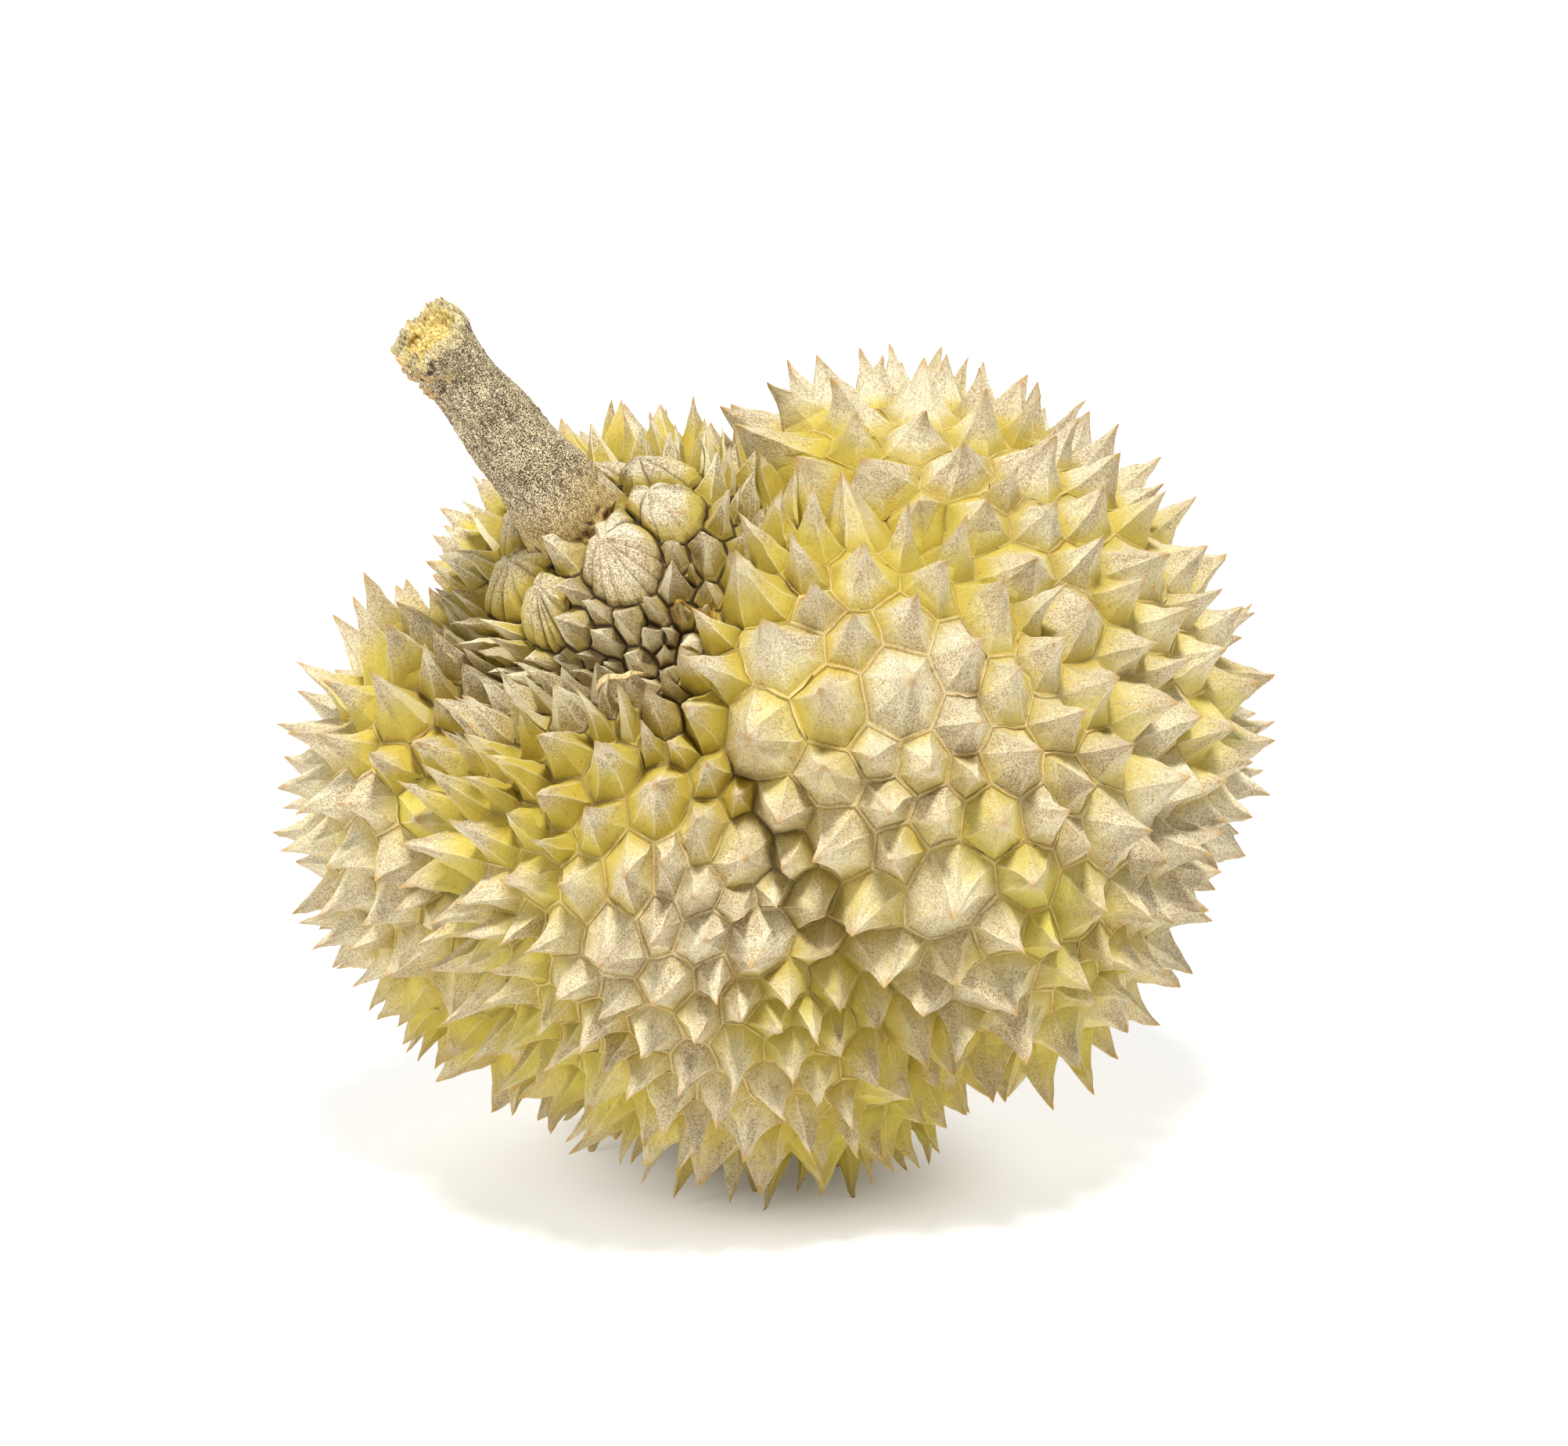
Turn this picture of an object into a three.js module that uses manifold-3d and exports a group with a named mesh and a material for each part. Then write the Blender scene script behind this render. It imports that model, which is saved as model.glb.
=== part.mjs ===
// A whole durian, resting on the tips of the spines under it, with its cut stem.
//
// The husk is one closed skin. Its body is five swollen lobes, a cap round the
// stem and a blunt blossom end, merged into one surface that is given as a
// radius in every direction from the heart of the fruit. Seeds scattered over
// that surface share it out into cells, and each cell rises into one spine.
// Millimetres, +Z up, origin on the table under the middle of the fruit.

import * as THREE from 'three';
import { ConvexHull } from 'three/addons/math/ConvexHull.js';
import { mergeVertices } from 'three/addons/utils/BufferGeometryUtils.js';
import Module from 'manifold-3d';

const { clamp, degToRad, lerp, smoothstep } = THREE.MathUtils;

// ---- driving dimensions -----------------------------------------------------

// heart of the fruit, above the table
const HEART = new THREE.Vector3(-1.41, -4.25, 106);

// direction of the stem end, and the side that the lobes' turns count from
const STEM_END = new THREE.Vector3(-0.64, -0.53, 0.73).normalize();
const FACE = new THREE.Vector3(0, -0.966, 0.259);

// each lobe is an ellipsoid: its turn round the fruit in degrees, its middle's
// distance out from the axis and along it, its half sizes, and its tilt;
// cell is the width of its spines, fine how far from the stem they stay small,
// stemward how much they lean towards the stem end, and leafy how much longer
// those are that are half grown
const LOBES = [
  {
    turn: 32.7, out: 32.2, along: -11.3, long: 82.7, wide: 67.2, deep: 62.6, tilt: -1.6,
    cell: 15.4, fine: 62, stemward: 0.25, leafy: 0.5,
  },
  {
    turn: -57.4, out: 31.1, along: -3.3, long: 83.6, wide: 63.0, deep: 63.6, tilt: 5.7,
    cell: 12.9, fine: 84, stemward: 0.12, leafy: 1,
  },
  {
    turn: -120.5, out: 52.2, along: -3.5, long: 86.2, wide: 56.2, deep: 61.0, tilt: 3.8,
    cell: 14.6, fine: 76, stemward: 0, leafy: 1,
  },
  {
    turn: 89.1, out: 46.9, along: -26.6, long: 83.1, wide: 67.9, deep: 61.2, tilt: 5.7,
    cell: 15.8, fine: 54, stemward: 0.1, leafy: 0,
  },
  {
    turn: 183.9, out: 26.4, along: -3.4, long: 87.2, wide: 66.0, deep: 66.9, tilt: -6.4,
    cell: 15.0, fine: 60, stemward: 0, leafy: 0,
  },
];

// the cap that carries the stem, and the blossom end
const CAP_DIRECTION = new THREE.Vector3(-0.5, -0.384, 0.776).normalize();
const CAP = { out: 54.6, high: 33.8, wide: 39.7, cell: 12, fine: 90, stemward: 0, leafy: 0 };
const BLOSSOM = { out: 31.5, high: 56.4, wide: 61.6, cell: 14, fine: 1, stemward: 0, leafy: 0 };

// how sharply the swellings meet, per mm: in the skin, and in the spines' lean;
// a groove sinks this much deeper, fading out as one swelling overtops the other
const GROOVE_SHARPNESS = 0.22;
const LEAN_SHARPNESS = 0.16;
const GROOVE_DEPTH = 9;
const GROOVE_REACH = 8;
const GROOVE_STEEP = 0.22;

// length of a spine on the crests; width of a cell and length of its spine round
// the stem and at the blossom end; and the shares of both left in a groove
const CREST_LENGTH = 14.2;
const COLLAR = { width: 8.2, length: 12.5 };
const BLOSSOM_TUFT = { width: 7.8, length: 8.0, reach: 56 };
const GROOVE = { width: 1.1, length: 0.85 };
const KNOBS = { width: 0.66, length: 0.42 };
const GROOVE_BY_STEM = { width: 0.8, length: 1.1 };

// on a leafy lobe the spines that are half grown are longer and more upright
const LEAFY = { length: 0.42, upright: 0.4 };

// spines grow from small to full size over this stretch of their `fine` distance
const FINE_FROM = 0.45;
const FINE_TO = 1.15;

// a swelling lies over those that come after it in the list: beside the groove
// between them its spines are wider and longer and splay out over the groove,
// and the other's are shorter and full; shares, and how far off the groove
const SHOULDER = { width: 0.1, length: 0.4, splay: 1.1, from: 11, reach: 8 };
const BANK = { length: -0.25, reach: 13 };

// the broad shells that stand round the stem's foot
const SHELLS = { count: 7, radius: 23.5, width: 23, length: 9, uneven: 0.4 };
const FOOT_WIDTH = 25;

// chance in the spines: how many darts look for a free place, how close two may
// stand as a share of their mean width, and the spread of width, length and lean
const SEED = 54;
const DARTS = 60000;
const CLOSEST = 0.776;
const WIDTH_SPREAD = 0.5;
const LENGTH_SPREAD = 0.26;
const LEAN_SPREAD = 0.2;

// a spine's waist: how far up it is, and how hollow or full the flank is there
const WAIST = 0.36;
const HOLLOW = 1.5;
const FULL = 0.85;
const WAIST_FROM_WIDTH = 12.6;

// tips that would pass the table, or come this near to it, reach this far below
// it and are worn flat
const NEAR_TABLE = 0.5;
const WORN = 2;
const TABLE = { side: 400, depth: 40 };

// stem: direction and place of its foot, then its half widths up its length
const STEM_FOOT = new THREE.Vector3(-0.54, -0.325, 0.775).normalize();
const STEM_DIRECTION = new THREE.Vector3(-0.53, -0.3, 0.79).normalize();
const STEM_SUNK = 4;
const STEM_SIDES = 24;
const STEM_BEND = 0.9;
const STEM_LENGTH = 65.5;
const STEM_PROFILE = [
  [7, -STEM_SUNK], [10.8, -1.8], [12.3, 2.2], [12.4, 7], [11.4, 13], [10.2, 20],
  [9.3, 29], [8.7, 39], [8.3, 49], [8.3, 57], [9.2, 61.5], [9.2, 64], [7.4, STEM_LENGTH],
];
const STEM_HOLLOW = [[5.2, 64], [3.4, 62.2]];
const STEM_HOLLOW_DEPTH = 61.8;

// the broken rim: where its teeth start and are full, and their height; two
// waves of different count round the rim make them uneven
const RIM = { radius: 9, from: 59.5, full: 64.5, tooth: 1.4, coarse: 3, fine: 7, shift: 0.6 };

// clearance of the stem in the husk
const SOCKET_GAP = 0.3;

// ---- chance -----------------------------------------------------------------

function chanceFrom(seed) {
  let state = seed;
  return () => {
    state = (state * 1664525 + 1013904223) % 4294967296;
    return state / 4294967296;
  };
}

// ---- body of the fruit --------------------------------------------------------

const SIDE = STEM_END.clone().cross(FACE).normalize();
const FRONT = SIDE.clone().cross(STEM_END);

// an ellipsoid round `middle`, as the three axes each divided by its half size
function swelling(middle, axes, halves, { cell, fine, stemward, leafy }) {
  const rows = axes.map((axis, k) => axis.clone().divideScalar(halves[k]));
  const centre = rows.map(row => row.dot(middle));
  const square = centre.reduce((sum, value) => sum + value * value, 0) - 1;
  return { middle, rows, centre, square, cell, fine, stemward, leafy };
}

function lobe(sizes) {
  const { turn, out, along, long, wide, deep, tilt } = sizes;
  const outward = FRONT.clone().multiplyScalar(Math.cos(degToRad(turn)));
  outward.addScaledVector(SIDE, Math.sin(degToRad(turn)));
  const across = STEM_END.clone().cross(outward);
  const middle = outward.clone().multiplyScalar(out).addScaledVector(STEM_END, along);
  const swing = degToRad(tilt);
  const up = STEM_END.clone().multiplyScalar(Math.cos(swing)).addScaledVector(outward, Math.sin(swing));
  const away = outward.clone().multiplyScalar(Math.cos(swing)).addScaledVector(STEM_END, -Math.sin(swing));
  return swelling(middle, [up, across, away], [long, wide, deep], sizes);
}

function dome(direction, sizes) {
  const first = direction.clone().cross(FACE).normalize();
  const second = direction.clone().cross(first);
  const middle = direction.clone().multiplyScalar(sizes.out);
  return swelling(middle, [direction, first, second], [sizes.high, sizes.wide, sizes.wide], sizes);
}

const SWELLINGS = [
  ...LOBES.map(lobe),
  dome(CAP_DIRECTION, CAP),
  dome(STEM_END.clone().negate(), BLOSSOM),
];

// how far a swelling reaches from the heart in direction `u`
function reachOf(swell, u) {
  let a = 0;
  let b = 0;
  swell.rows.forEach((row, k) => {
    const along = row.dot(u);
    a += along * along;
    b += along * swell.centre[k];
  });
  return (b + Math.sqrt(Math.max(b * b - a * swell.square, 0))) / a;
}

// which way a swelling faces at a point
function facing(swell, point) {
  const offset = point.clone().sub(swell.middle);
  const normal = new THREE.Vector3();
  swell.rows.forEach(row => normal.addScaledVector(row, row.dot(offset)));
  return normal.normalize();
}

// the skin in direction `u`: its point, the swellings' reaches and facings
// there, which of them owns the place, and how far down in a groove it is
function skin(u) {
  const reaches = SWELLINGS.map(swell => reachOf(swell, u));
  const top = Math.max(...reaches);
  const owner = reaches.indexOf(top);
  const runnerUp = Math.max(...reaches.filter((_, k) => k !== owner));
  const total = reaches.reduce((sum, reach) => sum + Math.exp(GROOVE_SHARPNESS * (reach - top)), 0);
  const radius = top + Math.log(total) / GROOVE_SHARPNESS;
  const point = u.clone().multiplyScalar(radius);
  const facings = SWELLINGS.map(swell => facing(swell, point));
  const second = reaches.indexOf(runnerUp);
  const turned = 1 - facings[owner].dot(facings[second]);
  const steep = Math.min(1, turned / GROOVE_STEEP);
  const groove = Math.exp(-(((top - runnerUp) / GROOVE_REACH) ** 2)) * steep;
  point.addScaledVector(u, -GROOVE_DEPTH * groove);
  return { point, reaches, facings, top, runnerUp, owner, second, steep, groove };
}

// ---- cells --------------------------------------------------------------------

const FOOT_POINT = skin(STEM_FOOT).point;
const BLOSSOM_POINT = skin(STEM_END.clone().negate()).point;

// what grows in direction `u`: cell width, spine length, lean, and fullness
function place(u) {
  const { point, reaches, facings, top, runnerUp, owner, second, steep, groove } = skin(u);
  const onCap = owner === LOBES.length;
  const { cell, fine, stemward, leafy } = SWELLINGS[owner];
  const crest = smoothstep(point.distanceTo(FOOT_POINT), FINE_FROM * fine, FINE_TO * fine);
  const tuft = 1 - smoothstep(point.distanceTo(BLOSSOM_POINT), 0, BLOSSOM_TUFT.reach);
  const beside = steep * crest * (1 - tuft);
  const offGroove = (top - runnerUp - SHOULDER.from) / SHOULDER.reach;
  const shoulder = owner < second ? beside * Math.exp(-offGroove * offGroove) : 0;
  const leaf = leafy * 4 * crest * (1 - crest) * (1 - groove);
  const bank = owner > second ? beside * Math.exp(-(((top - runnerUp) / BANK.reach) ** 2)) : 0;

  const lean = new THREE.Vector3();
  reaches.forEach((reach, k) => lean.addScaledVector(facings[k], Math.exp(LEAN_SHARPNESS * (reach - top))));
  lean.normalize();
  const outward = facings[owner].clone().sub(u);
  lean.addScaledVector(outward, SHOULDER.splay * shoulder).normalize();
  lean.addScaledVector(STEM_END, stemward * (1 - groove));
  lean.z += LEAFY.upright * leaf;
  lean.normalize();

  const sunk = groove * groove;
  const sunkWidth = onCap ? KNOBS.width : lerp(GROOVE_BY_STEM.width, GROOVE.width, crest);
  const sunkLength = onCap ? KNOBS.length : lerp(GROOVE_BY_STEM.length, GROOVE.length, crest);
  const width = lerp(lerp(COLLAR.width, cell, crest), BLOSSOM_TUFT.width, tuft);
  const length = lerp(lerp(COLLAR.length, CREST_LENGTH, crest), BLOSSOM_TUFT.length, tuft);
  return {
    u,
    point,
    lean,
    width: width * lerp(1, sunkWidth, sunk) * (1 + SHOULDER.width * shoulder),
    length: length * lerp(1, sunkLength, sunk) * (1 + LEAFY.length * leaf)
      * (1 + SHOULDER.length * shoulder + BANK.length * bank),
    hollow: lerp(FULL, HOLLOW, crest * (1 - Math.max(groove, bank))),
  };
}

// the stem's foot and the shells round it come first, then darts thrown at the
// skin, each kept where it is not too close to one that is already there
function scatter(chance) {
  const seeds = [{ ...place(STEM_FOOT), width: FOOT_WIDTH, length: 0 }];
  const first = STEM_DIRECTION.clone().cross(FACE).normalize();
  const second = STEM_DIRECTION.clone().cross(first);
  for (let shell = 0; shell < SHELLS.count; shell += 1) {
    const turn = (2 * Math.PI * (shell + SHELLS.uneven * chance())) / SHELLS.count;
    const spot = FOOT_POINT.clone();
    spot.addScaledVector(first, SHELLS.radius * Math.cos(turn));
    spot.addScaledVector(second, SHELLS.radius * Math.sin(turn));
    seeds.push({ ...place(spot.normalize()), width: SHELLS.width, length: SHELLS.length });
  }
  for (let dart = 0; dart < DARTS; dart += 1) {
    const height = 2 * chance() - 1;
    const turn = 2 * Math.PI * chance();
    const size = 1 + WIDTH_SPREAD * (chance() - 0.5);
    const round = Math.sqrt(1 - height * height);
    const seed = place(new THREE.Vector3(round * Math.cos(turn), round * Math.sin(turn), height));
    seed.width *= size;
    const clear = other => {
      const apart = (CLOSEST * (other.width + seed.width)) / 2;
      return other.point.distanceToSquared(seed.point) > apart * apart;
    };
    if (seeds.every(clear)) seeds.push(seed);
  }
  return seeds;
}

// the hull of the seeds' directions joins them in threes; each three gives one
// corner of the cells, nearer to the narrower of them, and each seed's corners
// come in order round it
function cells(seeds) {
  const hull = new ConvexHull().setFromPoints(seeds.map(seed => seed.u));
  const indexOf = new Map(seeds.map((seed, k) => [seed.u, k]));
  const rounds = seeds.map(() => new Map());
  const corners = hull.faces.map((face, corner) => {
    const three = [face.edge.prev, face.edge, face.edge.next].map(edge => indexOf.get(edge.head().point));
    const middle = new THREE.Vector3();
    three.forEach((seed, k) => {
      middle.addScaledVector(seeds[seed].u, 1 / seeds[seed].width);
      rounds[seed].set(three[(k + 1) % 3], { corner, next: three[(k + 2) % 3] });
    });
    return skin(middle.normalize()).point.add(HEART);
  });
  const loops = rounds.map(round => {
    const start = round.keys().next().value;
    const loop = [];
    let at = start;
    do {
      const { corner, next } = round.get(at);
      loop.push(corner);
      at = next;
    } while (at !== start);
    return loop;
  });
  return { corners, loops };
}

// ---- husk ---------------------------------------------------------------------

function huskMesh() {
  const chance = chanceFrom(SEED);
  const seeds = scatter(chance);
  const { corners, loops } = cells(seeds);
  const points = [...corners];
  const triangles = [];

  seeds.forEach((seed, k) => {
    const loop = loops[k];
    const middle = new THREE.Vector3();
    loop.forEach(corner => middle.addScaledVector(corners[corner], 1 / loop.length));
    const lean = seed.lean.clone();
    lean.x += LEAN_SPREAD * (chance() - 0.5);
    lean.y += LEAN_SPREAD * (chance() - 0.5);
    lean.z += LEAN_SPREAD * (chance() - 0.5);
    lean.normalize();
    let length = seed.length * (1 + LENGTH_SPREAD * (chance() - 0.5));
    if (middle.z + lean.z * length < NEAR_TABLE) length = (middle.z + WORN) / -lean.z;

    let ring = loop;
    if (seed.width > WAIST_FROM_WIDTH && length > 0) {
      const shrink = (1 - WAIST) ** seed.hollow;
      ring = loop.map(corner => {
        const point = corners[corner].clone().sub(middle).multiplyScalar(shrink).add(middle);
        points.push(point.addScaledVector(lean, WAIST * length));
        return points.length - 1;
      });
    }
    points.push(middle.clone().addScaledVector(lean, length));
    const tip = points.length - 1;
    loop.forEach((corner, side) => {
      const other = (side + 1) % loop.length;
      if (ring !== loop) {
        triangles.push([corner, loop[other], ring[other]], [corner, ring[other], ring[side]]);
      }
      triangles.push([ring[side], ring[other], tip]);
    });
  });
  return { points, triangles };
}

// ---- stem ---------------------------------------------------------------------

// the stem stands along +Y of its own frame; `grown` widens and deepens it all
// round, as a tool that cuts its socket
function stemGeometry(grown) {
  const outside = STEM_PROFILE.map(([radius, height]) => [radius + grown, height - grown]);
  const profile = [[0, -STEM_SUNK - grown], ...outside, ...STEM_HOLLOW, [0, STEM_HOLLOW_DEPTH]];
  const geometry = new THREE.LatheGeometry(profile.map(([x, y]) => new THREE.Vector2(x, y)), STEM_SIDES);

  const places = geometry.attributes.position;
  for (let k = 0; k < places.count; k += 1) {
    const height = places.getY(k);
    const turn = Math.atan2(places.getZ(k), places.getX(k));
    const offAxis = Math.hypot(places.getX(k), places.getZ(k)) / RIM.radius;
    const broken = smoothstep(height, RIM.from, RIM.full) * offAxis;
    const teeth = Math.sin(RIM.coarse * turn + RIM.shift) + 0.5 * Math.sin(RIM.fine * turn);
    const bend = STEM_BEND * Math.sin((2 * Math.PI * clamp(height, 0, STEM_LENGTH)) / STEM_LENGTH);
    places.setXYZ(k, places.getX(k) + bend, height + RIM.tooth * broken * teeth, places.getZ(k));
  }

  const across = new THREE.Vector3(0, 0, 1).cross(STEM_DIRECTION).normalize();
  const third = across.clone().cross(STEM_DIRECTION);
  const stand = new THREE.Matrix4().makeBasis(across, STEM_DIRECTION, third);
  stand.setPosition(FOOT_POINT.clone().add(HEART));
  return geometry.applyMatrix4(stand);
}

// ---- solids -------------------------------------------------------------------

const wasm = await Module();
wasm.setup();

function solidOf(positions, triangles) {
  return new wasm.Manifold(new wasm.Mesh({
    numProp: 3,
    vertProperties: Float32Array.from(positions),
    triVerts: Uint32Array.from(triangles),
  }));
}

function solidFromGeometry(geometry) {
  const bare = geometry.clone();
  bare.deleteAttribute('normal');
  bare.deleteAttribute('uv');
  const merged = mergeVertices(bare, 1e-4);
  const index = merged.index.array;
  const triangles = [];
  for (let k = 0; k < index.length; k += 3) {
    const [a, b, c] = index.slice(k, k + 3);
    if (a !== b && b !== c && c !== a) triangles.push(a, b, c);
  }
  return solidOf(merged.attributes.position.array, triangles);
}

function geometryFromSolid(solid) {
  const mesh = solid.getMesh();
  const geometry = new THREE.BufferGeometry();
  geometry.setAttribute('position', new THREE.BufferAttribute(Float32Array.from(mesh.vertProperties), 3));
  geometry.setIndex(new THREE.BufferAttribute(Uint32Array.from(mesh.triVerts), 1));
  geometry.computeVertexNormals();
  return geometry;
}

function belowTable() {
  const slab = new THREE.BoxGeometry(TABLE.side, TABLE.side, TABLE.depth);
  slab.translate(0, 0, -TABLE.depth / 2);
  return solidFromGeometry(slab);
}

// ---- the fruit ----------------------------------------------------------------

function husk() {
  const { points, triangles } = huskMesh();
  const skinSolid = solidOf(points.flatMap(point => point.toArray()), triangles.flat());
  const worn = skinSolid.subtract(belowTable());
  const socketed = worn.subtract(solidFromGeometry(stemGeometry(SOCKET_GAP)));
  const colour = new THREE.MeshStandardMaterial({ color: 0xcdbb7f, roughness: 0.75, metalness: 0 });
  const mesh = new THREE.Mesh(geometryFromSolid(socketed), colour);
  mesh.name = 'husk';
  return mesh;
}

function stem() {
  const bark = new THREE.MeshStandardMaterial({ color: 0x9a8a70, roughness: 0.85, metalness: 0 });
  const mesh = new THREE.Mesh(geometryFromSolid(solidFromGeometry(stemGeometry(0))), bark);
  mesh.name = 'stem';
  return mesh;
}

const durian = new THREE.Group();
durian.add(husk(), stem());

export default durian;
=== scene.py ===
"""A whole durian that rests on the tips of its spines: its husk and its cut stem.

The sections follow the fruit from the husk outward. Sizes are in millimetres
until a mesh is made, and Blender's own units are metres.
"""

import math

import bmesh
import bpy
import numpy as np
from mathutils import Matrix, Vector
from mathutils.bvhtree import BVHTree


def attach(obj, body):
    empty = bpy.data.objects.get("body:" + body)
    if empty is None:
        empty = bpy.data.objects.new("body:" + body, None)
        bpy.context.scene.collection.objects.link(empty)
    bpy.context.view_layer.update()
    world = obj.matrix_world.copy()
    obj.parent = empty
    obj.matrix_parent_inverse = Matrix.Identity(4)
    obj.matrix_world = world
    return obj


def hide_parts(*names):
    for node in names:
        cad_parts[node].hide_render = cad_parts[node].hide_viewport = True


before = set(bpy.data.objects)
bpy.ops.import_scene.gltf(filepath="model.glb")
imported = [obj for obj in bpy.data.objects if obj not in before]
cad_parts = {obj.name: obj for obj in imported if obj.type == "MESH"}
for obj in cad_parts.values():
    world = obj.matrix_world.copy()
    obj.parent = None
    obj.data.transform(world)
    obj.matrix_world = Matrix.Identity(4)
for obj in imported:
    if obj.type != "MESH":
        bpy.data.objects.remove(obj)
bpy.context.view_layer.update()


# ---- husk ---------------------------------------------------------------------
# The rind of the fruit: five swollen lobes that carry one tough skin, drawn out
# into some hundreds of woody spines. It grew as one piece with the stem and
# lies on the worn tips of the spines under it.

# every point of the skin is found along a direction from the heart of the fruit
HEART = np.array([-1.41, -4.25, 106.0])


def unit(vectors):
    return vectors / np.linalg.norm(vectors, axis=-1, keepdims=True)


def smooth(value, low, high):
    share = np.clip((value - low) / (high - low), 0, 1)
    return share * share * (3 - 2 * share)


def blend(first, second, share):
    return first + (second - first) * share


STEM_END = unit(np.array([-0.64, -0.53, 0.73]))
FACE = np.array([0, -0.966, 0.259])
SIDE = unit(np.cross(STEM_END, FACE))
FRONT = np.cross(SIDE, STEM_END)

# a lobe is an ellipsoid: its turn round the fruit, its middle's distance out
# from the axis and along it, its half sizes and its tilt; then the width of its
# spines, how far from the stem they stay small, and how they lean to the stem end
LOBES = [
    (32.7, 32.2, -11.3, (82.7, 67.2, 62.6), -1.6, 15.4, 62, 0.25, 0.5),
    (-57.4, 31.1, -3.3, (83.6, 63.0, 63.6), 5.7, 12.9, 84, 0.12, 1),
    (-120.5, 52.2, -3.5, (86.2, 56.2, 61.0), 3.8, 14.6, 76, 0, 1),
    (89.1, 46.9, -26.6, (83.1, 67.9, 61.2), 5.7, 15.8, 54, 0.1, 0),
    (183.9, 26.4, -3.4, (87.2, 66.0, 66.9), -6.4, 15.0, 60, 0, 0),
]
CAP = len(LOBES)
CAP_DIRECTION = unit(np.array([-0.5, -0.384, 0.776]))

swell_middles, swell_rows, swell_spines = [], [], []


def add_swelling(middle, axes, halves, *spines):
    swell_middles.append(middle)
    swell_rows.append([axis / half for axis, half in zip(axes, halves)])
    swell_spines.append(spines)


for turn, out, along, halves, tilt, *spines in LOBES:
    turn, tilt = math.radians(turn), math.radians(tilt)
    outward = FRONT * math.cos(turn) + SIDE * math.sin(turn)
    up = STEM_END * math.cos(tilt) + outward * math.sin(tilt)
    away = outward * math.cos(tilt) - STEM_END * math.sin(tilt)
    middle = outward * out + STEM_END * along
    add_swelling(middle, [up, np.cross(STEM_END, outward), away], halves, *spines)

# the cap that carries the stem, and the blunt blossom end opposite
for direction, out, high, wide, *spines in [
    (CAP_DIRECTION, 54.6, 33.8, 39.7, 12, 90, 0, 0),
    (-STEM_END, 31.5, 56.4, 61.6, 14, 1, 0, 0),
]:
    first = unit(np.cross(direction, FACE))
    axes = [direction, first, np.cross(direction, first)]
    add_swelling(direction * out, axes, (high, wide, wide), *spines)

swell_middles, swell_rows = np.array(swell_middles), np.array(swell_rows)
cell_widths, fine_reaches, stemward_leans, leafiness = np.array(swell_spines, float).T
swell_centres = np.einsum("kij,kj->ki", swell_rows, swell_middles)
swell_squares = (swell_centres ** 2).sum(1) - 1

# how sharply swellings meet in the skin and in the spines' lean; a groove sinks
# by its depth and fades out as one swelling overtops the other
GROOVE_SHARPNESS, LEAN_SHARPNESS = 0.22, 0.16
GROOVE_DEPTH, GROOVE_REACH, GROOVE_STEEP = 9, 8, 0.22


def skin(u):
    """Where the skin lies in the directions u, and what meets there."""
    every = np.arange(len(u))
    along = np.einsum("kij,nj->nki", swell_rows, u)
    a = (along ** 2).sum(2)
    b = (along * swell_centres).sum(2)
    reach = (b + np.sqrt(np.maximum(b * b - a * swell_squares, 0))) / a
    owner, top = reach.argmax(1), reach.max(1)
    others = reach.copy()
    others[every, owner] = -1
    second, runner_up = others.argmax(1), others.max(1)
    total = np.exp(GROOVE_SHARPNESS * (reach - top[:, None])).sum(1)
    point = u * (top + np.log(total) / GROOVE_SHARPNESS)[:, None]
    offset = np.einsum("kij,nkj->nki", swell_rows, point[:, None] - swell_middles)
    facing = unit(np.einsum("nki,kij->nkj", offset, swell_rows))
    turned = 1 - (facing[every, owner] * facing[every, second]).sum(1)
    steep = np.minimum(1, turned / GROOVE_STEEP)
    groove = np.exp(-((top - runner_up) / GROOVE_REACH) ** 2) * steep
    point = point - u * (GROOVE_DEPTH * groove)[:, None]
    return {"point": point, "reach": reach, "facing": facing, "top": top, "owner": owner,
            "second": second, "runner_up": runner_up, "steep": steep, "groove": groove}


# where the stem stands; widths and lengths of spines on the crests, round the
# stem and at the blossom end, and the shares of both left in a groove
STEM_FOOT = unit(np.array([-0.54, -0.325, 0.775]))
STEM_DIRECTION = unit(np.array([-0.53, -0.3, 0.79]))
FOOT_POINT = skin(STEM_FOOT[None])["point"][0]
BLOSSOM_POINT = skin(-STEM_END[None])["point"][0]
CREST_LENGTH = 14.2
COLLAR_WIDTH, COLLAR_LENGTH = 8.2, 12.5
TUFT_WIDTH, TUFT_LENGTH, TUFT_REACH = 7.8, 8.0, 56
GROOVE_WIDTH, GROOVE_LENGTH, RIM_WIDTH, RIM_LENGTH = 1.1, 0.85, 0.8, 1.1
KNOB_WIDTH, KNOB_LENGTH = 0.66, 0.42
LEAFY_LENGTH, LEAFY_UPRIGHT = 0.42, 0.4
FINE_FROM, FINE_TO = 0.45, 1.15

# a swelling lies over those after it in the list: beside the groove between them
# its spines are wider and longer and splay out, and the other's short and full
SHOULDER_WIDTH, SHOULDER_LENGTH, SPLAY, SHOULDER_FROM, SHOULDER_REACH = 0.1, 0.4, 1.1, 11, 8
BANK_LENGTH, BANK_REACH = -0.25, 13
HOLLOW, FULL = 1.5, 0.85


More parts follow.
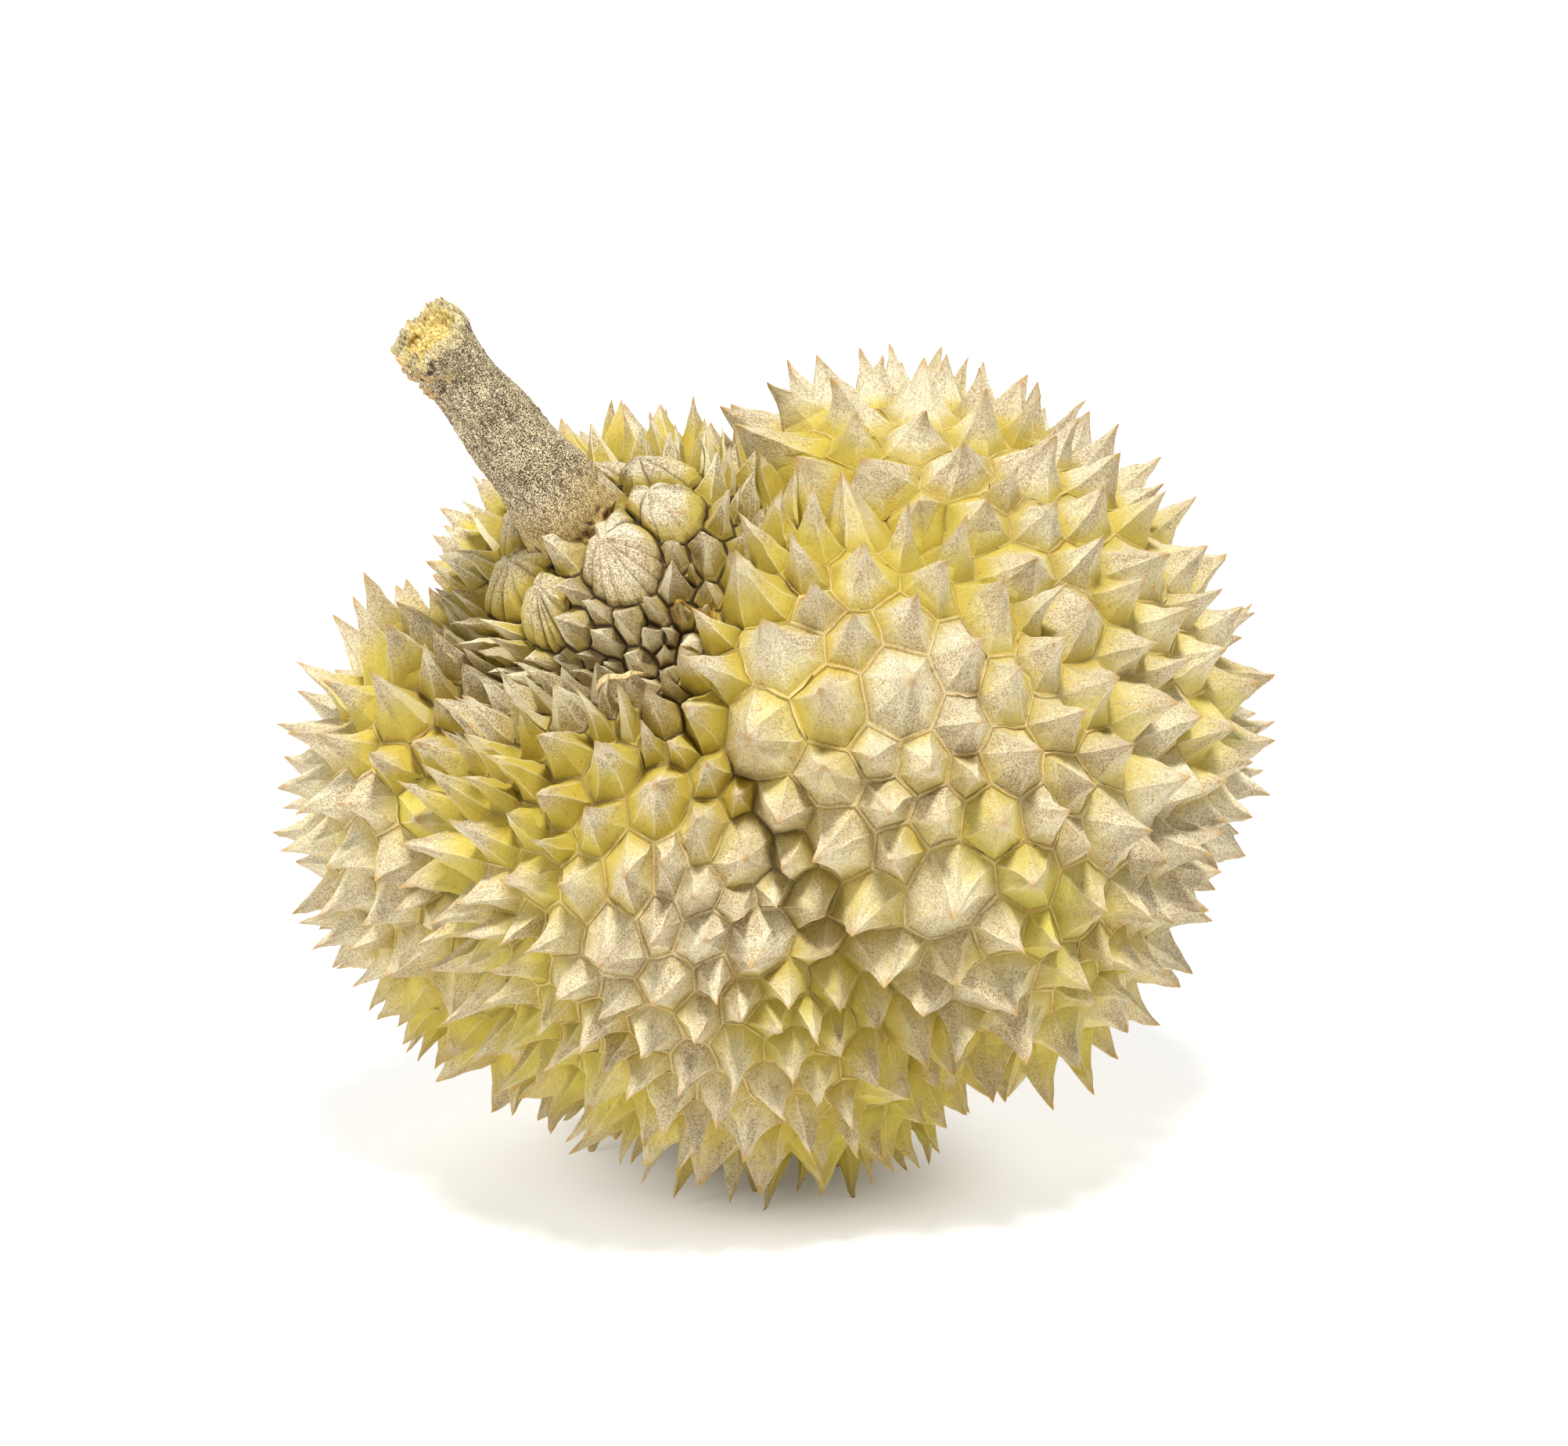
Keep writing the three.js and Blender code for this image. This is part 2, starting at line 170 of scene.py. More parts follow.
def growth(u):
    """What grows from the skin in the directions u, with one entry for each."""
    s = skin(u)
    every, owner = np.arange(len(u)), s["owner"]
    on_cap = owner == CAP
    fine = fine_reaches[owner]
    from_foot = np.linalg.norm(s["point"] - FOOT_POINT, axis=1)
    crest = smooth(from_foot, FINE_FROM * fine, FINE_TO * fine)
    tuft = 1 - smooth(np.linalg.norm(s["point"] - BLOSSOM_POINT, axis=1), 0, TUFT_REACH)
    gap = s["top"] - s["runner_up"]
    beside = s["steep"] * crest * (1 - tuft)
    over, below = owner < s["second"], owner > s["second"]
    shoulder = np.exp(-((gap - SHOULDER_FROM) / SHOULDER_REACH) ** 2) * beside * over
    bank = np.exp(-(gap / BANK_REACH) ** 2) * beside * below
    weight = np.exp(LEAN_SHARPNESS * (s["reach"] - s["top"][:, None]))
    lean = unit((s["facing"] * weight[:, :, None]).sum(1))
    outward = s["facing"][every, owner] - u
    lean = unit(lean + outward * (SPLAY * shoulder)[:, None])
    lean = lean + STEM_END * (stemward_leans[owner] * (1 - s["groove"]))[:, None]
    leafy = 4 * crest * (1 - crest) * (1 - s["groove"]) * leafiness[owner]
    lean = unit(lean + [0, 0, 1] * (LEAFY_UPRIGHT * leafy)[:, None])
    sunk = s["groove"] ** 2
    sunk_width = np.where(on_cap, KNOB_WIDTH, blend(RIM_WIDTH, GROOVE_WIDTH, crest))
    sunk_length = np.where(on_cap, KNOB_LENGTH, blend(RIM_LENGTH, GROOVE_LENGTH, crest))
    width = blend(blend(COLLAR_WIDTH, cell_widths[owner], crest), TUFT_WIDTH, tuft)
    length = blend(blend(COLLAR_LENGTH, CREST_LENGTH, crest), TUFT_LENGTH, tuft)
    return {
        "point": s["point"], "lean": lean, "crest": crest,
        "groove": np.maximum(s["groove"], bank),
        "width": width * blend(1, sunk_width, sunk) * (1 + SHOULDER_WIDTH * shoulder),
        "length": length * blend(1, sunk_length, sunk) * (1 + LEAFY_LENGTH * leafy)
        * (1 + SHOULDER_LENGTH * shoulder + BANK_LENGTH * bank),
        "hollow": blend(FULL, HOLLOW, crest * (1 - np.maximum(s["groove"], bank))),
    }


# The seeds of the spines: the stem's foot, the broad shells round it, then darts
# thrown at the skin, each kept where it is clear of all before it.
SHELLS, SHELL_RADIUS, SHELL_WIDTH, SHELL_LENGTH, SHELL_UNEVEN = 7, 23.5, 23, 9, 0.4
FOOT_WIDTH = 25
SEED, DARTS, CLOSEST, MOST_SPINES = 54, 60000, 0.776, 2000
WIDTH_SPREAD, LENGTH_SPREAD, LEAN_SPREAD = 0.5, 0.26, 0.2
CHANCE_FACTOR, CHANCE_SHIFT, CHANCE_RANGE = 1664525, 1013904223, 2 ** 32

chance_state = SEED


def chance():
    global chance_state
    chance_state = (chance_state * CHANCE_FACTOR + CHANCE_SHIFT) % CHANCE_RANGE
    return chance_state / CHANCE_RANGE


first = unit(np.cross(STEM_DIRECTION, FACE))
second = np.cross(STEM_DIRECTION, first)
turns = np.array([2 * math.pi * (k + SHELL_UNEVEN * chance()) / SHELLS for k in range(SHELLS)])
ring = np.outer(np.cos(turns), first) + np.outer(np.sin(turns), second)
spots = FOOT_POINT + SHELL_RADIUS * ring
draws = np.array([chance() for _ in range(3 * DARTS)]).reshape(DARTS, 3)
heights, turns = 2 * draws[:, 0] - 1, 2 * math.pi * draws[:, 1]
rounds = np.sqrt(1 - heights ** 2)
thrown = np.stack([rounds * np.cos(turns), rounds * np.sin(turns), heights], axis=1)
candidates = np.vstack([STEM_FOOT[None], unit(spots), thrown])
grown = growth(candidates)
always = 1 + SHELLS
grown["width"][0], grown["length"][0] = FOOT_WIDTH, 0
grown["width"][1:always], grown["length"][1:always] = SHELL_WIDTH, SHELL_LENGTH
grown["width"][always:] *= 1 + WIDTH_SPREAD * (draws[:, 2] - 0.5)

kept = list(range(always))
kept_points, kept_widths = np.zeros((MOST_SPINES, 3)), np.zeros(MOST_SPINES)
kept_points[:always], kept_widths[:always] = grown["point"][:always], grown["width"][:always]
for dart in range(always, len(candidates)):
    count = len(kept)
    apart = CLOSEST * (kept_widths[:count] + grown["width"][dart]) / 2
    gap = ((kept_points[:count] - grown["point"][dart]) ** 2).sum(1)
    if (gap > apart ** 2).all():
        kept_points[count], kept_widths[count] = grown["point"][dart], grown["width"][dart]
        kept.append(dart)
seeds = {name: values[kept] for name, values in grown.items()}
seed_directions = candidates[kept]

# The hull of the seeds' directions joins them in threes. Each three gives one
# corner of the cells, and each seed's corners come in order round it.
NEVER_ALONG = FACE + 0.1
hull = bmesh.new()
hull_points = [hull.verts.new(direction) for direction in seed_directions]
bmesh.ops.convex_hull(hull, input=hull_points)
hull.verts.index_update()
triangles = [[vertex.index for vertex in face.verts] for face in hull.faces]
hull.free()
corner_directions = []
rounds = [[] for _ in seed_directions]
for corner, three in enumerate(triangles):
    shares = 1 / seeds["width"][three]
    corner_directions.append((seed_directions[three] * shares[:, None]).sum(0))
    for seed in three:
        rounds[seed].append(corner)
corner_directions = unit(np.array(corner_directions))
corners = skin(corner_directions)["point"] + HEART
loops = []
for seed, around in enumerate(rounds):
    axis = seed_directions[seed]
    first = unit(np.cross(axis, NEVER_ALONG))
    second = np.cross(axis, first)
    angles = np.arctan2(corner_directions[around] @ second, corner_directions[around] @ first)
    loops.append([around[k] for k in np.argsort(angles)])

# Between two corners a border is laid in points that both cells share. Between
# full spines it carries a low seam, in a groove and round the stem it is a crease.
PIECE, FINE_PIECE, MOST_PIECES = 3, 1.6, 3
BORDER_WAVE, BORDER_WANDER = 7, 0.28
SEAM_LIFT, CREASE_SINK = 0.2, 0.8
WAVE_SEED = 5

waves = np.random.default_rng(WAVE_SEED)


def wander(points, size, count=10):
    """A smooth uneven value over space, of about this size in millimetres."""
    heading = unit(waves.normal(size=(count, 3))) * (2 * math.pi / size)
    heading = heading * waves.uniform(0.7, 1.5, (count, 1))
    phase = waves.uniform(0, 2 * math.pi, count)
    return np.sin(points @ heading.T + phase).sum(1) / math.sqrt(count / 2)


shells = set(range(1, always))
side_cells = {}
for seed, loop in enumerate(loops):
    for corner, other in zip(loop, loop[1:] + loop[:1]):
        side_cells.setdefault((min(corner, other), max(corner, other)), []).append(seed)
side_points = {}
vertex_count = len(corners)
border_starts, border_ends, border_shares = [], [], []
for (corner, other), owners in side_cells.items():
    length = np.linalg.norm(corners[corner] - corners[other])
    if shells.intersection(owners) or 0 in owners:
        pieces = math.ceil(length / FINE_PIECE)
    else:
        pieces = max(1, min(MOST_PIECES, round(length / PIECE)))
    side_points[corner, other] = [corner, *range(vertex_count, vertex_count + pieces - 1), other]
    vertex_count += pieces - 1
    for step in range(1, pieces):
        border_starts.append(corner)
        border_ends.append(other)
        border_shares.append(step / pieces)
shares = np.array(border_shares)[:, None]
between = corners[border_starts] * (1 - shares) + corners[border_ends] * shares
borders = np.vstack([corners, between])
border_growth = growth(unit(borders - HEART))
net = border_growth["crest"] * (1 - border_growth["groove"])
lift = blend(-CREASE_SINK, SEAM_LIFT, net)
drift = np.stack([wander(borders, BORDER_WAVE) for _ in range(3)], axis=1) * BORDER_WANDER
borders = borders + drift + border_growth["lean"] * lift[:, None]

# A spine rises from its cell in rings. The first two lie on the seam beside the
# border, and a small spine has only one there. The rest climb the flank, which is
# hollow between its ridges. The ridges from the widest corners of the cell die
# out on the way up: a corner without one counts as far from any. Near the tip
# there are fewer points to a ring, and the tip is a small blunt nib.
SEAM_WIDTH, SEAM_FOOT, SEAM_SLOPE, SEAM_DIP, LOW_SEAM = 0.32, 0.66, 0.9, -0.1, 0.9
MAIN_RIDGES, OPEN_PULL, NO_RIDGE = 0.75, 0.25, 3
FLARE, SMALL_CELL, BIG_LENGTH, BIG_WIDTH = 1.4, 10, 6, 9
RISES = np.array([0.07, 0.17, 0.30, 0.45, 0.60, 0.76, 0.89, 0.97])
RING_SHARES = np.array([1, 1, 0.66, 0.66, 0.66, 0.33, 0.33, 0.33])
LOW_RISES = np.array([0.12, 0.28, 0.46, 0.64, 0.81, 0.93])
LOW_SHARES = np.array([1, 1, 0.66, 0.5, 0.33, 0.33])
FACE_HOLLOW, NIB, NIB_SPREAD, TIP_BEND = 0.1, 0.42, 1.3, 0.28

# tips that would pass the table, or come this near it, reach this far below it
# and are worn flat there; the others have lost this share of their length
NEAR_TABLE, WORN, BLUNT = 0.5, 2, 0.93

# the shells round the stem lean against it and are folded in pleats; under the
# stem the husk goes down in a socket, given as distances out and up
PLEATS, PLEAT_DEPTH, PLEAT_SHARPNESS, SHELL_SHIFT = 12, 0.6, 0.8, 5.5
SHELL_RISES = np.array([0.12, 0.3, 0.5, 0.68, 0.82, 0.91, 0.96, 0.99])
SHELL_BELLY, SHELL_CROWN = 1.7, 0.8
SOCKET = [(12.6, 0.5), (12.0, 0.2), (11.6, -0.8), (11.5, -4.3), (6, -4.4)]

# the rind's grain starts afresh this far on for each side and each spine
SIDE_STEP, CELL_STEP = 17, 7.3
SHAPE_SEED, LUCK_SEED = 11, 3

shape = np.random.default_rng(SHAPE_SEED)
mesh_points = [borders]
mesh_faces, face_cells, face_values = [], [], []
next_vertex = len(borders)

for seed, loop in enumerate(loops):
    sides = len(loop)
    ring_corners = corners[loop]
    following = np.roll(ring_corners, -1, axis=0)
    middle = ring_corners.mean(0)
    lean = seeds["lean"][seed] + LEAN_SPREAD * (np.array([chance(), chance(), chance()]) - 0.5)
    lean = unit(lean)
    length = seeds["length"][seed] * (1 + LENGTH_SPREAD * (chance() - 0.5))
    if middle[2] + lean[2] * length < NEAR_TABLE:
        length = (middle[2] + WORN) / -lean[2]
    else:
        length *= BLUNT
    crest, groove = seeds["crest"][seed], seeds["groove"][seed]
    hollow = seeds["hollow"][seed]
    if seeds["width"][seed] < SMALL_CELL:
        hollow = max(hollow, 1)
    cell_net = crest * (1 - groove)
    is_shell, is_foot = seed in shells, seed == 0

    # border points in order round the cell, from the shared sides
    border_ids, counts = [], []
    for corner, other in zip(loop, loop[1:] + loop[:1]):
        run = side_points.get((corner, other)) or side_points[other, corner][::-1]
        border_ids.extend(run[:-1])
        counts.append(len(run) - 1)
    counts = np.array(counts)
    side_lengths = np.linalg.norm(following - ring_corners, axis=1)
    side_middles = (ring_corners + following) / 2
    inner = np.linalg.norm(side_middles - middle, axis=1)

    # the rings: how far up, how wide, how much lifted, and how many points
    rings = [(0, 1, 0, counts)]
    radius = inner.mean()
    if is_foot:
        for across, up in SOCKET:
            rings.append((0, across / radius, up, counts))
    else:
        seam_lift = blend(-CREASE_SINK, SEAM_LIFT, cell_net)
        big = length > BIG_LENGTH and seeds["width"][seed] > BIG_WIDTH
        seam = [SEAM_WIDTH / radius, SEAM_FOOT / radius] if big else [LOW_SEAM / radius]
        lifts = [seam_lift * SEAM_SLOPE, SEAM_DIP] if big else [0.0]
        for share, up in zip(seam, lifts):
            rings.append((0, 1 - share, up, counts))
        foot = 1 - seam[-1]
        table = zip(RISES, RING_SHARES) if big else zip(LOW_RISES, LOW_SHARES)
        if is_shell:
            table = [(rise, 1) for rise in SHELL_RISES]
        for rise, share in table:
            flare = (1 - rise) ** (1 + (hollow - 1) * FLARE * (1 - rise))
            if is_shell:
                flare = (1 - rise ** SHELL_BELLY) ** SHELL_CROWN
            flare = max(flare * foot, NIB / radius * (NIB_SPREAD - rise))
            rings.append((rise, flare, 0, np.maximum(1, np.ceil(counts * share)).astype(int)))

    before = unit(np.roll(ring_corners, 1, axis=0) - ring_corners)
    after = unit(following - ring_corners)
    from_sharpest = np.argsort(np.argsort(np.arccos((before * after).sum(1))))
    openness = (from_sharpest >= round(MAIN_RIDGES * sides)).astype(float)
    next_openness = np.roll(openness, -1)
    bend = np.cross(lean, unit(shape.normal(size=3))) * TIP_BEND * length * shape.uniform(0.2, 1)
    sag = FACE_HOLLOW * shape.uniform(0.6, 1.4) * blend(0.3, 1, cell_net)
    pleat_turn = shape.uniform(0, 2 * math.pi)
    toward_stem = FOOT_POINT + HEART - middle
    shift = unit(toward_stem) * SHELL_SHIFT if is_shell else 0
    ids, starts, value_starts, all_counts, values = [], [], [], [], []
    for number, (rise, wide, up, ring_counts) in enumerate(rings):
        # every side's points run to its far corner, which is the next side's first
        side = np.repeat(np.arange(sides), ring_counts + 1)
        step = np.concatenate([np.arange(n + 1) / n for n in ring_counts])
        fold = np.ones(len(step))
        if is_shell:
            turn = 2 * math.pi * (side + step) / sides
            fold = np.abs(np.sin(PLEATS * turn / 2 + pleat_turn)) ** PLEAT_SHARPNESS
        edge = (1 - wide) * inner[side]
        ridge = np.minimum(step, 1 - step) * side_lengths[side] * wide
        nearer = np.where(step < 0.5, openness[side], next_openness[side])
        ridge = ridge + NO_RIDGE * nearer + NO_RIDGE * is_shell
        across = (step - 0.5) * side_lengths[side] * wide + side * SIDE_STEP
        values.append(np.stack([np.full(len(step), rise), edge, ridge, across, fold], axis=1))
        all_counts.append(ring_counts)
        starts.append(np.concatenate([[0], np.cumsum(ring_counts)]))
        value_starts.append(np.concatenate([[0], np.cumsum(ring_counts + 1)]))
        if number == 0:
            ids.append(np.array(border_ids))
            continue
        own = step < 1
        side, step, fold = side[own], step[own], fold[own]
        base = ring_corners[side] * (1 - step)[:, None] + following[side] * step[:, None] - middle
        mid_side = 4 * step * (1 - step)
        opened = blend(openness[side], next_openness[side], step)
        pull = sag * mid_side + OPEN_PULL * opened * (1 - mid_side)
        pull = pull * smooth(rise, 0, 0.25) * (1 - smooth(rise, 0.8, 1))
        place = middle + base * (wide * (1 - pull))[:, None] + lean * (rise * length + up)
        place = place + bend * rise ** 2 + shift * rise ** 1.4
        if is_shell:
            bulge = math.sin(math.pi * min(1, 0.2 + rise * 0.8)) ** 0.6
            depth = (fold * 2 - 1) * PLEAT_DEPTH * bulge
            place = place + (unit(base) * 0.8 + lean) * depth[:, None]
        ids.append(np.arange(next_vertex, next_vertex + len(step)))
        next_vertex += len(step)
        mesh_points.append(place)

    # the last point closes the tip
    top = middle + lean * (length + rings[-1][2]) + bend + shift
    tip_id, next_vertex = next_vertex, next_vertex + 1
    mesh_points.append(top[None])
    tip_rise = 0 if is_foot else 1
    tip_values = [np.array([tip_rise, radius, NO_RIDGE, side * SIDE_STEP, 1]) for side in range(sides)]

    def add_face(side, picked):
        """A face on one side of the spine, from its points' rings and steps."""
        face, face_value = [], []
        for r, k in picked:
            face.append(int(ids[r][(starts[r][side] + k) % len(ids[r])]) if r >= 0 else tip_id)
            face_value.append(values[r][value_starts[r][side] + k] if r >= 0 else tip_values[side])
        mesh_faces.append(face)
        face_values.append(face_value)
        face_cells.append(seed)

    for r in range(len(rings) - 1):
        for side in range(sides):
            a, b = int(all_counts[r][side]), int(all_counts[r + 1][side])
            if a == b:
                for k in range(a):
                    add_face(side, [(r, k), (r, k + 1), (r + 1, k + 1), (r + 1, k)])
                continue
            i = j = 0
            while i < a or j < b:
                if j == b or (i < a and (i + 1) / a <= (j + 1) / b):
                    add_face(side, [(r, i), (r, i + 1), (r + 1, j)])
                    i += 1
                else:
                    add_face(side, [(r, i), (r + 1, j + 1), (r + 1, j)])
                    j += 1
    last = len(rings) - 1
    for side in range(sides):
        for k in range(int(all_counts[last][side])):
            add_face(side, [(last, k), (last, k + 1), (-1, 0)])

# the whole rind is a little uneven: the size and depth of its swells and dents
UNEVEN = [(7, 0.14), (2.4, 0.06)]
SHARP_EDGE = math.radians(15)
MM_PER_METRE = 1000
husk_points = np.vstack(mesh_points)
for size, depth in UNEVEN:
    rough = np.stack([wander(husk_points, size) for _ in range(3)], axis=1)
    husk_points = husk_points + depth * rough
husk_points[:, 2] = np.maximum(husk_points[:, 2], 0)

husk_mesh = bpy.data.meshes.new("husk_rind")
husk_mesh.from_pydata((husk_points / MM_PER_METRE).tolist(), [], mesh_faces)
husk_mesh.update()
corner_values = np.vstack(face_values)
# what the rind's material reads: how far up the spine, how far in from the border
# and off a ridge, how deep in a pleat, and what each whole spine has of its own
for name, column in [("rise", 0), ("edge", 1), ("ridge", 2), ("fold", 4)]:
    layer = husk_mesh.attributes.new(name, "FLOAT", "CORNER")
    layer.data.foreach_set("value", corner_values[:, column].astype(np.float32))
face_cells = np.array(face_cells)
cell_luck = np.random.default_rng(LUCK_SEED).uniform(size=(len(loops), 2))
cell_net = seeds["crest"] * (1 - seeds["groove"])
facing_down = smooth(-seeds["lean"][:, 2], 0.35, 0.9)
for name, per_cell in [
    ("luck", cell_luck[:, 0]), ("tone", cell_luck[:, 1]), ("crest", seeds["crest"]),
    ("net", cell_net), ("under", facing_down),
]:
    layer = husk_mesh.attributes.new(name, "FLOAT", "FACE")
    layer.data.foreach_set("value", per_cell[face_cells].astype(np.float32))
corner_counts = np.array([len(face) for face in mesh_faces])
corner_cell = np.repeat(face_cells, corner_counts)
up_slope = corner_values[:, 0] * seeds["length"][corner_cell]
grain = np.stack([corner_values[:, 3], up_slope, corner_cell * CELL_STEP], axis=1)
layer = husk_mesh.attributes.new("grain", "FLOAT_VECTOR", "CORNER")
layer.data.foreach_set("vector", grain.astype(np.float32).ravel())
husk_mesh.polygons.foreach_set("use_smooth", [True] * len(mesh_faces))
husk_mesh.set_sharp_from_angle(angle=SHARP_EDGE)

husk = bpy.data.objects.new("husk_rind", husk_mesh)
bpy.context.scene.collection.objects.link(husk)


class Layer:
    """A value or colour that varies over a surface, in one material's node tree."""

    def __init__(self, tree, socket=None):
        self.tree = tree
        self.socket = socket

    def node(self, kind, settings, inputs, output=0):
        made = self.tree.nodes.new("ShaderNode" + kind)
        for name, value in settings.items():
            setattr(made, name, value)
        for name, value in inputs.items():
            if isinstance(value, Layer):
                self.tree.links.new(value.socket, made.inputs[name])
            else:
                made.inputs[name].default_value = value
        return Layer(self.tree, made.outputs[output])

    def math(self, operation, *values):
        return self.node("Math", {"operation": operation}, dict(enumerate(values)))

    def __add__(self, other):
        return self.math("ADD", self, other)

    def __sub__(self, other):
        return self.math("SUBTRACT", self, other)

    def __rsub__(self, other):
        return self.math("SUBTRACT", other, self)

    def __mul__(self, other):
        return self.math("MULTIPLY", self, other)

    __radd__ = __add__
    __rmul__ = __mul__

    def fade(self, low, high):
        """0 up to low, 1 from high on, and smooth between."""
        return self.node("MapRange", {"interpolation_type": "SMOOTHSTEP"},
                         {"Value": self, "From Min": low, "From Max": high})

    def tint(self, under, over):
        """The colour `under` where this is 0, and `over` where it is 1."""
        return self.node("Mix", {"data_type": "RGBA"}, {0: self, 6: under, 7: over}, output=2)

    def mark(self, name):
        return self.node("Attribute", {"attribute_name": name}, {}, output="Fac")

    def stretch(self, scale):
        return self.node("VectorMath", {"operation": "MULTIPLY"}, {0: self, 1: scale})

    def noise(self, scale, detail=2, roughness=0.5):
        return self.node("TexNoise", {}, {"Vector": self, "Scale": scale, "Detail": detail,
                                          "Roughness": roughness})

    def bumps(self, strength, height):
        """The surface's normal where this is its relief, with heights in metres."""
        return self.node("Bump", {}, {"Strength": strength, "Distance": height, "Height": self},
                         output="Normal")


def colour(red, green, blue):
    """A colour given in screen values, 0 to 255, as Blender's own linear values."""
    values = [value / 255 for value in (red, green, blue)]
    return [v / 12.92 if v < 0.04045 else ((v + 0.055) / 1.055) ** 2.4 for v in values] + [1]


def finish(material, colours, roughness, normal, gloss):
    """Joins a material's colour, roughness and normal to its surface, and gives that."""
    tree = material.node_tree
    surface = tree.nodes.new("ShaderNodeBsdfPrincipled")
    surface.inputs["Specular IOR Level"].default_value = gloss
    tree.links.new(colours.socket, surface.inputs["Base Color"])
    tree.links.new(roughness.socket, surface.inputs["Roughness"])
    tree.links.new(normal.socket, surface.inputs["Normal"])
    output = tree.nodes.new("ShaderNodeOutputMaterial")
    tree.links.new(surface.outputs[0], output.inputs["Surface"])
    return surface


def new_material(name):
    material = bpy.data.materials.new(name)
    material.use_nodes = True
    material.node_tree.nodes.clear()
    return material, Layer(material.node_tree)


# scales of the rind's patches, blotches, grain and crumbs, per metre
PATCHES, BLOTCHES, WOVEN, BROKEN, CRUMBS = 24, 140, 17, 45, 520
SPECKS, MOTTLE = 2500, 1250
GRAIN_HEIGHT, GRAIN_STRENGTH = 0.0006, 0.7
SKIN_YELLOW, SKIN_GREEN, SKIN_PALE = colour(206, 182, 24), colour(188, 182, 38), colour(226, 212, 92)
SCURF_PALE, SCURF_MAUVE = colour(253, 244, 211), colour(166, 141, 102)
WRINKLE, BRUISE, FOOT_PAINTED_SHADE = colour(150, 126, 88), colour(176, 148, 108), colour(142, 112, 10)
CRUMB_GOLD = colour(190, 136, 58)
TIP_BROWN, TIP_GOLD, RIDGE_PALE_AND_HIGHLIGHT = colour(192, 148, 72), colour(214, 168, 44), colour(246, 236, 200)
SEAM_OCHRE, SEAM_STRIP, PAINTED_CREASE_SHADE = colour(186, 142, 76), colour(226, 206, 150), colour(74, 56, 26)
COLLAR_BROWN, BUD_GRAIN = colour(184, 150, 92), colour(118, 92, 62)

rind, start = new_material("durian_rind")
place = start.node("TexCoord", {}, {}, output="Object")
rise, edge, ridge = start.mark("rise"), start.mark("edge"), start.mark("ridge")
luck, tone, crest = start.mark("luck"), start.mark("tone"), start.mark("crest")
net, under = start.mark("net"), start.mark("under")
grain = start.node("Attribute", {"attribute_name": "grain"}, {}, output="Vector")

patches, blotches = place.noise(PATCHES, 3), place.noise(BLOTCHES, 3)
facewise = grain.stretch((0.07, 0.02, 1)).noise(1, 1)
streaks = grain.stretch((0.9, 0.25, 1)).noise(1, 3, 0.65)
wrinkles = grain.stretch((1.7, 0.42, 1)).noise(1, 4, 0.72)
specks, mottle = place.noise(SPECKS, 3, 0.7), place.noise(MOTTLE, 2)
height = place.node("SeparateXYZ", {}, {0: place}, output=2)

# yellow flesh shows at the feet of the spines, most between those that are half
# grown and on top of the fruit; over it lies a scurf of pale scales on mauve, in
# fine lengthwise wrinkles, and the buds near the stem have a darker grain; the
# flesh is seen where `bare` is high
flesh = (patches.fade(0.53, 0.68) * crest.fade(0.5, 1) * 0.5).tint(SKIN_YELLOW, SKIN_GREEN)
flesh = (tone * 0.4).tint(flesh, SKIN_PALE)
grit = (wrinkles * 0.12 + specks * 0.68 + mottle * 0.2).fade(0.41, 0.57)
scurf = (grit * 0.65 + facewise.fade(0.3, 0.7) * 0.35).tint(SCURF_MAUVE, SCURF_PALE)
scurf = ((1 - crest) * (1 - grit) * 0.45).tint(scurf, BUD_GRAIN)
half_grown = crest.fade(0.15, 0.5) * (1 - crest.fade(0.85, 1))
bare = (patches - 0.5) * 2.1 + (facewise - 0.5) * 0.7 + (streaks - 0.5) * 0.5 + (luck - 0.5) * 0.3
bare = bare + 0.12 + half_grown * (0.6 - rise * 0.7) + (1 - edge.fade(0.5, 3)) * 0.1
bare = bare + height.fade(0.12, 0.19) * (1 - edge.fade(0.6, 4)) * 0.4
bare = bare + (specks - 0.5) * 1.8 - rise * 0.55 - (1 - crest.fade(0, 0.4)) * 0.3
bare = bare + under * 0.45 - net * 0.26
shade = (bare.fade(-0.5, 0.4) * 0.85).tint(scurf, flesh)
shade = ((1 - wrinkles.fade(0.34, 0.44)) * 0.22).tint(shade, WRINKLE)
upper = (rise + (streaks - 0.5) * 0.6).fade(0.35, 1) * crest
shade = (upper * 0.5).tint(shade, BRUISE)
shade = ((1 - crest) * 0.08).tint(shade, COLLAR_BROWN)
# painted shade: the creases round the buds near the stem are darkened towards their borders
shade = ((1 - crest) * (1 - edge.fade(0.5, 3)) * 0.18).tint(shade, PAINTED_CREASE_SHADE)
# painted shade: the feet of the spines beside the border are darkened to a deep ochre, as shade falls
# between them
shade = ((1 - edge.fade(0.7, 3.4)) * 0.22).tint(shade, FOOT_PAINTED_SHADE)
# the ridges are tinted pale: on the buds near the stem a pale edge of their own, and on every spine
# also a thin painted highlight
on_ridge = (1 - ridge.fade(0.1, 0.45)) * edge.fade(0.8, 1.6)
shade = (on_ridge * (0.2 + (1 - crest) * 0.35)).tint(shade, RIDGE_PALE_AND_HIGHLIGHT)
tip = (rise + streaks * 0.14).fade(0.86, 1.02) * crest.fade(0, 0.3)
shade = (tip * 0.6).tint(shade, under.tint(TIP_BROWN, TIP_GOLD))

# the seams: two thin ochre lines with a pale strip between, woven wide in places
woven = place.noise(WOVEN, 2).fade(0.58, 0.7)
seam_edge = (edge + (blotches - 0.5) * 0.4) * (1 - woven * 0.6)
line = seam_edge.fade(0.16, 0.26) * (1 - seam_edge.fade(0.36, 0.52))
line = line * (0.35 + 0.65 * place.noise(BROKEN, 2).fade(0.42, 0.58))
strip = 1 - seam_edge.fade(0.18, 0.28)
shade = (strip * net * 0.4).tint(shade, SEAM_STRIP)
shade = (line * net * streaks.fade(0.3, 0.5) * 0.9).tint(shade, SEAM_OCHRE)
